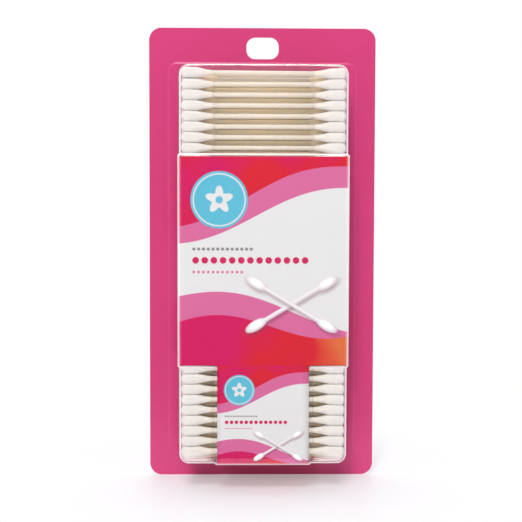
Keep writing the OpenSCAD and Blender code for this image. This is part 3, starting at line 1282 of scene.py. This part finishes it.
    def skirt(self, draft: Draft, place: Array, height: Array, lean: Array) -> None:
        """Adds edge, walls, flare and flange: border point + outward direction times a
        profile's reach, at the profile's depth.

        Args:
            draft: The tub's draft.
            place: X of the front grid.
            height: Z of the front grid.
            lean: Angle of each row's end on the corner's arc.
        """
        s = self.sizes
        last_row, last_col = place.shape[0] - 1, place.shape[1] - 1
        down, along = np.arange(last_row), np.arange(last_col)
        i = np.concatenate([0 * along, down, 0 * along + last_row, last_row - down])
        j = np.concatenate([along, 0 * down + last_col, last_col - along, 0 * down])
        px, pz = place[i, j], height[i, j]
        upper = np.where(pz > (s.top + s.bottom) / 2, 1.0, -1.0)
        on_end = (i == 0) | (i == last_row)
        nx = np.where(on_end, 0.0, np.sign(px) * np.cos(lean[i]))
        nz = np.where(on_end, upper, upper * np.sin(lean[i]))
        lift = self.raised(px, pz) * s.band_step
        turn = np.radians(np.linspace(90, 0, self.turn_steps + 1))
        wall = spaced(s.edge_r, s.base_s - s.foot, self.wall_step)[1:]
        depth = np.concatenate([s.edge_r * (1 - np.sin(turn)), wall])
        sine = np.concatenate([np.sin(turn), 0 * wall])
        reach = np.concatenate([s.edge_r * np.cos(turn), 0 * wall + s.edge_r])
        cosine = np.sqrt(1 - sine**2)
        out = reach[:, None] + s.spread(depth)[:, None] + cosine[:, None] * lift[None, :]
        y = s.front_y + depth[:, None] - sine[:, None] * lift[None, :]
        flare = np.radians(np.linspace(0, 90, self.flare_steps + 1))[1:]
        out_flare = s.edge_r + s.spread(s.base_s) + np.maximum(
            s.foot * (1 - np.cos(flare))[:, None], lift[None, :])
        y_flare = np.broadcast_to((s.flange_y - s.foot * (1 - np.sin(flare)))[:, None], out_flare.shape)
        out, y = np.concatenate([out, out_flare]), np.concatenate([y, y_flare])
        body = np.stack([px + nx * out, y, pz + nz * out], -1)
        r = s.corner_r - s.edge_r
        inner = (s.half - s.edge_r - r, s.top - s.edge_r - r, s.bottom + s.edge_r + r)
        grow = s.spread(s.base_s)
        f_half = s.half + grow + s.window + s.trap_side - s.flange_r
        f_top = s.top + grow + s.window + s.trap_end - s.flange_r
        f_bottom = s.bottom - grow - s.window - s.trap_end + s.flange_r
        qx, qz = px - nx * r, pz - nz * r
        fx = qx * f_half / inner[0] + nx * s.flange_r
        fz = f_bottom + (qz - inner[2]) * (f_top - f_bottom) / (inner[1] - inner[2]) + nz * s.flange_r
        rim = np.stack([fx, np.full_like(fx, s.flange_y), fz], -1)
        share = np.linspace(0, 1, self.flange_steps + 1)[1:, None, None]
        flange = body[-1] + (rim - body[-1]) * share
        # Painted highlight along the front edge, the flare and the band's bevel, handed to the sheet's pale
        # shader by the UV map's X.
        off = (turn - math.radians(self.painted_rim_at)) / math.radians(self.painted_rim_over)
        sharpest = self.edge_painted_rim * np.exp(-(off**2))
        edge = np.concatenate([sharpest, 0 * wall, self.flare_painted_rim * np.sin(2 * flare)])
        hot = np.where(pz > s.band_top, 1 - self.top_painted_rim_cut * nz, 1.0)
        painted_rim = np.maximum(edge[:, None] * hot[None, :], self.painted_bevel_rim(px, pz)[None, :])
        painted_rim = np.concatenate([painted_rim, np.zeros((self.flange_steps, len(px)))])
        uv = np.stack([painted_rim, 0 * painted_rim], -1) * UV_MM
        draft.grid(np.concatenate([body, flange])[:, ::-1], wrap=True, uv=uv[:, ::-1])


@dataclass
class FoldedLabel:
    """The T-shaped paper label: a front panel with a flap round each side of the tub, and a
    tongue down the front that folds under the bottom."""

    sizes: PackSizes
    beside: float = 0.3  # narrow strip along an edge that keeps the panel's shading flat
    step: float = 4.0  # width of a face across the panel
    tall_step: float = 5.0  # its height
    fold_steps: int = 6

    def run(
        self, reach: float, y_front: float, y_back: float, r: float, start: float
    ) -> tuple[Array, Array, Array]:
        """One half of a folded section: straight from the middle, a quarter circle of radius
        r at the fold, then back along the drafted wall.

        Args:
            reach: Distance from the middle to the wall.
            y_front: The panel's depth.
            y_back: The flap's end.
            r: Radius of the fold.
            start: Where the straight part begins.

        Returns:
            Distances across, depths, and lengths along the paper.
        """
        s = self.sizes
        turn = np.radians(np.linspace(90, 0, self.fold_steps + 1))[1:]
        flat = spaced(start, reach - r, self.step)
        depth = spaced(y_front + r, y_back, self.step)[1:]
        wall = reach + s.spread(depth - y_front - r)
        across = np.concatenate([flat, reach - r + r * np.cos(turn), wall])
        y = np.concatenate([np.full(len(flat), y_front), y_front + r - r * np.sin(turn), depth])
        steps = np.hypot(np.diff(across), np.diff(y))
        return across, y, start + np.concatenate([[0.0], np.cumsum(steps)])

    def make(self, panel: Material, tongue: Material, bare: Material) -> Piece:
        """Makes the label as one sheet, unrolled on its UV map, and gives it its thickness.

        Args:
            panel: The print on the panel and its flaps.
            tongue: The print on the tongue.
            bare: The paper's unprinted back and edges.

        Returns:
            The piece.
        """
        s = self.sizes
        off = s.wall + s.paper_gap
        edge = s.band_bevel + off
        y_front, y_back = s.front_y - s.band_step + off, s.flange_y - s.flap_gap
        low, high = s.band_bottom + edge, s.band_top - edge
        tongue_half = s.tongue_w / 2 - edge
        right, depth, length = self.run(
            s.half + s.band_step - off + s.spread(s.edge_r), y_front, y_back, s.edge_r - off, tongue_half
        )
        middle = spaced(0.0, tongue_half, self.step)[:-1]
        right, length = np.concatenate([middle, right]), np.concatenate([middle, length])
        depth = np.concatenate([np.full(len(middle), y_front), depth])
        x = np.concatenate([-right[:0:-1], right])
        y = np.concatenate([depth[:0:-1], depth])
        u = np.concatenate([-length[:0:-1], length])
        inner = spaced(high - self.beside, low + self.beside, self.tall_step)
        z = np.concatenate([[high], inner, [low]])
        draft = Draft()
        draft.grid(
            np.stack(np.broadcast_arrays(x[None, :], y[None, :], z[:, None]), -1),
            uv=np.stack(np.broadcast_arrays(u[None, :], z[:, None]), -1),
        )
        down, y, length = self.run(
            s.band_step - off - s.bottom + s.spread(s.edge_r), y_front, y_back, s.edge_r - off, -low
        )
        x = np.concatenate([[-tongue_half], -middle[:0:-1], middle, [tongue_half]])
        draft.grid(
            np.stack(np.broadcast_arrays(x[None, :], y[:, None], -down[:, None]), -1),
            uv=np.stack(np.broadcast_arrays(x[None, :], -length[:, None]), -1),
            mark=1,
        )
        prints = [panel, tongue, bare, bare]
        piece = draft.finish("folded_label", prints, ("label_insert",), closed=False)
        thick = piece.modifiers.new("paper_thickness", "SOLIDIFY")
        thick.thickness, thick.offset = s.paper_t * MM, -1.0
        thick.material_offset = thick.material_offset_rim = 2
        return piece


@dataclass(frozen=True)
class Fineness:
    """How many points and rings a swab's mesh has."""

    around_head: int
    tip_rings: int
    taper_rings: int
    around_stick: int


@dataclass
class SwabStack:
    """Nested layers of paper-stick swabs with wound cotton heads."""

    sizes: PackSizes
    seed: int = 11
    fine_layers: int = 1  # layers close behind the sheet get more faces
    near: Fineness = Fineness(around_head=24, tip_rings=7, taper_rings=8, around_stick=16)
    far: Fineness = Fineness(around_head=12, tip_rings=4, taper_rings=2, around_stick=10)
    first_ring: float = 4.0  # degrees between the axis and the round tip's first ring
    loft: float = 2.75  # radius of a head that nothing presses
    loft_front: float = 3.18  # the same in the front layer
    full_mm: tuple[float, float] = (5.4, 6.4)  # from the tip to the end of the full middle
    creep: tuple[float, float] = (1.4, 2.6)  # how far past head_len the cotton thins out
    taper_power: float = 2.1  # how soon the taper narrows
    tuck: float = 0.07  # how far under the stick's surface the taper ends
    uneven: float = 0.015  # depth of a head's waves, as a share of its radius
    wave_mm: tuple[float, float] = (5.0, 9.0)  # their length along the head
    wave_turns: int = 2  # the most of them round it
    touch: float = 0.02  # room left between pressed heads
    felted: float = 0.03  # how far the front layer's heads press into each other
    grazing: float = 0.05  # a flat that a direction meets at a smaller cosine doesn't press it
    sag: float = 0.3  # how much further the front layer's lowest heads loft downwards
    lit_top_rows: int = 1  # top rows of the inner layers which light from above reaches, kept in the plain paper rather than the painted-bounce copy

    def fineness(self, layer: int) -> Fineness:
        """The fineness of a layer's meshes."""
        return self.near if layer <= self.fine_layers else self.far

    def places(self, layer: int) -> tuple[Array, Array, Array]:
        """Depth, heights and tilts of a layer's swabs. Odd layers lie half a pitch higher.

        Args:
            layer: The layer's number, from 1 at the front.

        Returns:
            Depths, heights and tilts in radians, one for each swab.
        """
        s = self.sizes
        row = np.arange(s.rows)
        y = np.full(s.rows, s.front_y + s.wall + s.layer_gap + s.head_d / 2 + (layer - 1) * s.layer_pitch)
        z = s.second_z + row * s.pitch + (s.pitch / 2 if layer % 2 else 0.0)
        tilt = np.zeros(s.rows)
        if layer == 1:
            tilt[-1] = math.radians(s.loose_tilt)
            z[-1] += math.sin(tilt[-1]) * s.swab_len / 2
        return y, z, tilt

    def lathe(self, along: Array, radius: Array, around: int) -> tuple[Array, Array]:
        """A surface of revolution about X: (along, radius cos a, radius sin a).

        Args:
            along: Places along the axis, one row for each body.
            radius: Radii there, bodies by places by around.
            around: Points in each ring.

        Returns:
            Points, bodies by places by around by 3, and their UVs.
        """
        a = ring_angles(around)
        x = np.broadcast_to(along[:, :, None], radius.shape)
        points = np.stack([x, radius * np.cos(a), radius * np.sin(a)], -1)
        uv = np.stack(np.broadcast_arrays(a[None, None, :] / (2 * np.pi) * UV_MM, x), -1)
        return points, uv

    def pressed(self, radius: Array, around: int, layer: int) -> Array:
        """Presses soft heads flat where they meet their neighbours and the sheet: no radius
        is longer than a flat's distance over the cosine of the angle from it. The flats face
        the card and the sheet, up and down the layer, and the nested layers behind and
        before. The front layer has none before it.

        Args:
            radius: Radii, the last axis going round.
            around: Points in each ring.
            layer: The layer's number.

        Returns:
            The pressed radii.
        """
        s = self.sizes
        way = np.radians([0, 180, 90, 270, 30, 330] + ([150, 210] if layer > 1 else []))
        flat = np.full(len(way), s.pitch / 2 - self.touch)
        flat[:2] = s.head_d / 2 + s.layer_gap - self.touch
        if layer == 1:
            flat[2:4] = s.pitch / 2 + self.felted
        cosine = np.cos(ring_angles(around)[:, None] - way[None, :])
        limit = np.where(cosine > self.grazing, flat / np.maximum(cosine, self.grazing), np.inf)
        return np.minimum(radius, limit.min(1))

    def set_out(self, points: Array, layer: int) -> Array:
        """Turns and moves bodies about Y onto their layer's places.

        Args:
            points: Bodies by any number of points by 3.
            layer: The layer's number.

        Returns:
            The placed points.
        """
        y, z, tilt = self.places(layer)
        c, s = np.cos(tilt)[:, None, None], np.sin(tilt)[:, None, None]
        px, pz = points[..., 0], points[..., 2]
        return np.stack([
            px * c + pz * s, points[..., 1] + y[:, None, None], pz * c - px * s + z[:, None, None],
        ], -1)

    def heads(self, layer: int, cotton: Material) -> Piece:
        """Makes a layer's cotton heads, lathed from a profile: a quarter circle at the tip, a
        full middle, and a taper whose height over the stick falls as the power taper_power of
        what is left of it. A sine along and round each head makes it a little uneven.

        Args:
            layer: The layer's number.
            cotton: The cotton's material.

        Returns:
            The piece.
        """
        s, fine = self.sizes, self.fineness(layer)
        around = fine.around_head
        each = (s.rows, 1, 1)
        rng = np.random.default_rng(self.seed + layer)
        tip = self.loft_front if layer == 1 else self.loft
        end = s.stick_d / 2 - self.tuck
        angle = np.radians(np.linspace(self.first_ring, 90, fine.tip_rings))
        taper = np.linspace(0, 1, fine.taper_rings + 1)[1:]
        narrowing = end + (tip - end) * (1 - taper) ** self.taper_power
        size = np.concatenate([tip * np.sin(angle), narrowing])
        draft = Draft()
        for side in (-1, 1):
            long = s.head_len + rng.uniform(*self.creep, (s.rows, 1))
            full = rng.uniform(*self.full_mm, (s.rows, 1))
            from_tip = np.concatenate([
                np.broadcast_to(tip * (1 - np.cos(angle)), (s.rows, len(angle))),
                full + (long - full) * taper,
            ], 1)
            along = rng.random(each) + from_tip[:, :, None] / rng.uniform(*self.wave_mm, each)
            turns = ring_angles(around) * rng.integers(1, self.wave_turns + 1, each)
            lump = 1 - self.uneven * (1 + np.sin(2 * np.pi * along + turns))
            radius = self.pressed(size[None, :, None] * lump, around, layer)
            if layer % 2 == 0:
                radius[0] = np.minimum(radius[0], s.head_d / 2 - self.touch)
            elif layer == 1:
                low = np.clip(-np.sin(ring_angles(around)), 0, 1)
                radius[0] = radius[0] * (1 + self.sag * low**2)
            points, uv = self.lathe(from_tip, radius, around)
            points[..., 0] = side * (s.swab_len / 2 - points[..., 0])
            placed = self.set_out(points.reshape(s.rows, -1, around, 3), layer)
            if side > 0:
                placed = placed[:, :, ::-1]
            for body, unrolled in zip(placed, uv):
                draft.grid(body, wrap=True, uv=unrolled)
                for ring in (body[0], body[-1]):
                    draft.cap(ring)
        return draft.finish(f"cotton_heads_{layer}", [cotton], (f"swab_heads_layer_{layer}",))

    def sticks(self, layer: int, papers: list[Material]) -> Piece:
        """Makes a layer's sticks, plain rods between the heads' tips. The front layer and
        the loosely packed top rows, which light from above reaches, are of the plain paper;
        the shaded rest take its warmer copy, painted with bounce light.

        Args:
            layer: The layer's number.
            papers: The plain rolled paper's material and its warmer copy, painted with bounce light.

        Returns:
            The piece.
        """
        s = self.sizes
        around = self.fineness(layer).around_stick
        reach = s.swab_len / 2 - s.tip_cover
        along = np.broadcast_to(np.array([-reach, 0.0, reach]), (s.rows, 3))
        points, uv = self.lathe(along, np.full((s.rows, 3, around), s.stick_d / 2), around)
        placed = self.set_out(points.reshape(s.rows, -1, around, 3), layer)
        draft = Draft()
        for row, (body, unrolled) in enumerate(zip(placed, uv)):
            # Painted light: shaded inner rows take the warmer paper, the front layer and lit top rows the
            # plain one.
            mark = 0 if layer == 1 or row >= s.rows - self.lit_top_rows else 1
            draft.grid(body, wrap=True, uv=unrolled, mark=mark)
            for ring in (body[0], body[-1]):
                draft.cap(ring)
        return draft.finish(f"paper_sticks_{layer}", papers, (f"swab_sticks_layer_{layer}",))


# The studio


class Lamp(Enum):
    """The studio's lamps: place in metres from the card's middle, size, watts, tint, and
    whether gloss mirrors them."""

    KEY = ((-0.4, -2.92, 3.24), 1.5, 82.0, "#FFFDFC", True)
    LOW = ((-0.42, -2.0, 0.98), 0.3, 12.6, "#FFFEFD", False)
    LEFT = ((-0.9, -1.1, 0.4), 0.8, 0.9, "#FFFEFD", True)
    RIGHT = ((0.9, -1.1, 0.4), 0.8, 0.8, "#FFFEFD", True)
    BEHIND = ((0.0, 0.3, 1.1), 0.7, 3.8, "#FFFFFF", True)


@dataclass
class Studio:
    """Camera, lamps, white background and floor, about the middle of the card."""

    target: tuple[float, float, float] = (-0.47, -1.0, -103.52)
    distance: float = 550.0
    elevation: float = 3.23
    azimuth: float = -1.1
    roll: float = 0.165
    sensor: float = 36.0
    lens: float = 77.19
    ambient: float = 0.46  # the background's strength as a light
    cloth_near: float = -0.1  # where the black cloth begins before the pack, in metres
    cloth_far: float = -0.8  # and where it rises
    cloth_top: float = 1.0
    cloth_half: float = 1.0
    floor_half: float = 4000.0  # in millimetres
    floor_faces: int = 8  # along each side

    def camera(self) -> None:
        """Stands the camera at its distance and angles from the target, turned by its roll."""
        e, a, t = (math.radians(v) for v in (self.elevation, self.azimuth, self.roll))
        back = Vector((math.sin(a) * math.cos(e), -math.cos(a) * math.cos(e), math.sin(e)))
        right = (-back).cross(Vector((0, 0, 1))).normalized()
        up = right.cross(-back)
        turned = right * math.cos(t) + up * math.sin(t)
        upright = up * math.cos(t) - right * math.sin(t)
        data = bpy.data.cameras.new("camera")
        data.sensor_width, data.lens = self.sensor, self.lens
        data.clip_start, data.clip_end = 0.01, 50.0
        camera = bpy.data.objects.new("camera", data)
        place = (Vector(self.target) + back * self.distance) * MM
        aim = Matrix((turned, upright, back)).transposed().to_4x4()
        camera.matrix_world = Matrix.Translation(place) @ aim
        bpy.context.scene.collection.objects.link(camera)
        bpy.context.scene.camera = camera

    def lamps(self) -> None:
        """Hangs the lamps, each turned to the card's middle."""
        middle = Vector(self.target) * MM
        for lamp in Lamp:
            place, size, watts, tint, mirrored = lamp.value
            data = bpy.data.lights.new(lamp.name.lower(), "AREA")
            data.shape, data.size, data.energy, data.color = "DISK", size, watts, linear(tint)[:3]
            light = bpy.data.objects.new(lamp.name.lower(), data)
            light.location = middle + Vector(place)
            light.visible_glossy = mirrored
            light.rotation_euler = (-Vector(place)).to_track_quat("-Z", "Y").to_euler()
            bpy.context.scene.collection.objects.link(light)

    def background(self) -> None:
        """Sets a world that is white to look at and softer as a light."""
        world = bpy.data.worlds.new("white_studio")
        world.use_nodes = True
        tree = world.node_tree
        tree.nodes.clear()
        strength = add(tree, "MapRange", {0: seen_directly(tree), 3: self.ambient, 4: 1.0})[0]
        white = add(tree, "Background", {"Color": linear("#FFFFFF"), "Strength": strength})[0]
        add(tree, "OutputWorld", {"Surface": white})
        bpy.context.scene.world = world

    def flag(self) -> None:
        """Sets a black cloth behind the camera and over the floor before the pack, which only
        gloss sees, so that the sheet and the varnish mirror no white over the print."""
        low = CAD_BOX[0].z + MM
        run = [(self.cloth_near, low), (self.cloth_far, low), (self.cloth_far, self.cloth_top)]
        points = [(side, y, z) for y, z in run for side in (-self.cloth_half, self.cloth_half)]
        mesh = bpy.data.meshes.new("black_flag")
        mesh.from_pydata(points, [], [[0, 1, 3, 2], [2, 3, 5, 4]])
        cloth = blank_material("black_velvet")
        tree = cloth.node_tree
        dark = add(tree, "BsdfDiffuse", {"Color": linear("#000000")})[0]
        clear = add(tree, "BsdfTransparent")[0]
        seen = add(tree, "LightPath")["Glossy Depth"]
        surface = add(tree, "MixShader", {0: seen, 1: clear, 2: dark})[0]
        add(tree, "OutputMaterial", {"Surface": surface})
        mesh.materials.append(cloth)
        flag = bpy.data.objects.new("black_flag", mesh)
        flag.visible_camera = flag.visible_diffuse = flag.visible_shadow = False
        bpy.context.scene.collection.objects.link(flag)

    def floor(self, material: Material) -> None:
        """Lays the floor under the card's lower edge.

        Args:
            material: The floor's material.
        """
        low = CAD_BOX[0].z / MM
        side = np.linspace(-self.floor_half, self.floor_half, self.floor_faces + 1)
        x, y = np.meshgrid(side, side, indexing="ij")
        points = np.stack([x, y, np.full_like(x, low)], -1).reshape(-1, 3)
        faces = quads(np.arange(x.size).reshape(x.shape))
        mesh = bpy.data.meshes.new("studio_floor")
        mesh.from_pydata(points * MM, [], faces.tolist())
        mesh.materials.append(material)
        floor = bpy.data.objects.new("studio_floor", mesh)
        bpy.context.scene.collection.objects.link(floor)


def main() -> None:
    """Builds the pack's sub-assemblies in order, then the studio."""
    logging.basicConfig(level=logging.INFO, format="%(message)s")
    sizes = PackSizes()
    printed, pulp = CoatedBoard().make(), BoardCore().make()
    card = HangCard(sizes)
    # The back board's inner face takes a paler copy of the magenta print: painted reflection of the tub's
    # sheet.
    card.back(printed, pulp, CoatedBoard("coated_board_inner_painted_veil", ink="#C66288", ink_deep="#C05C82").make())
    card.front(printed, pulp)
    BlisterTub(sizes).make(ClearSheet().make())
    panel_top = sizes.band_top - sizes.band_bevel
    tongue_top = sizes.band_bottom + sizes.band_bevel
    FoldedLabel(sizes).make(
        PrintedLabel("printed_label_panel", panel_top).make(),
        PrintedLabel("printed_label_tongue", tongue_top, scale=0.54).make(),
        pulp,
    )
    stack = SwabStack(sizes)
    cotton = WoundCotton().make()
    # The inner layers' cotton: its warm neck is partly the real thinning and partly painted warm light
    # bounced between the sticks.
    inner_cotton_painted_bounce = WoundCotton(
        "wound_cotton_inner_painted_bounce", neck="#FFEACE", neck_from_mm=35.0, neck_to_mm=30.0, soft=0.1
    ).make()
    paper = RolledPaper().make()
    # Painted bounce light: a warmer copy of the stick paper for the shaded inner layers, standing in for
    # light reflected off their neighbours.
    inner_paper_painted_bounce = RolledPaper("rolled_paper_painted_bounce", paper="#FFEACC", shade="#FFE4C0", soft_mm=0.6).make()
    for layer in range(1, sizes.layers + 1):
        stack.heads(layer, cotton if layer == 1 else inner_cotton_painted_bounce)
        stack.sticks(layer, [paper, inner_paper_painted_bounce])
    studio = Studio()
    studio.camera()
    studio.lamps()
    studio.background()
    studio.flag()
    studio.floor(StudioFloor().make())
    bpy.context.scene.view_settings.view_transform = "Standard"


if __name__ == "__main__":
    main()
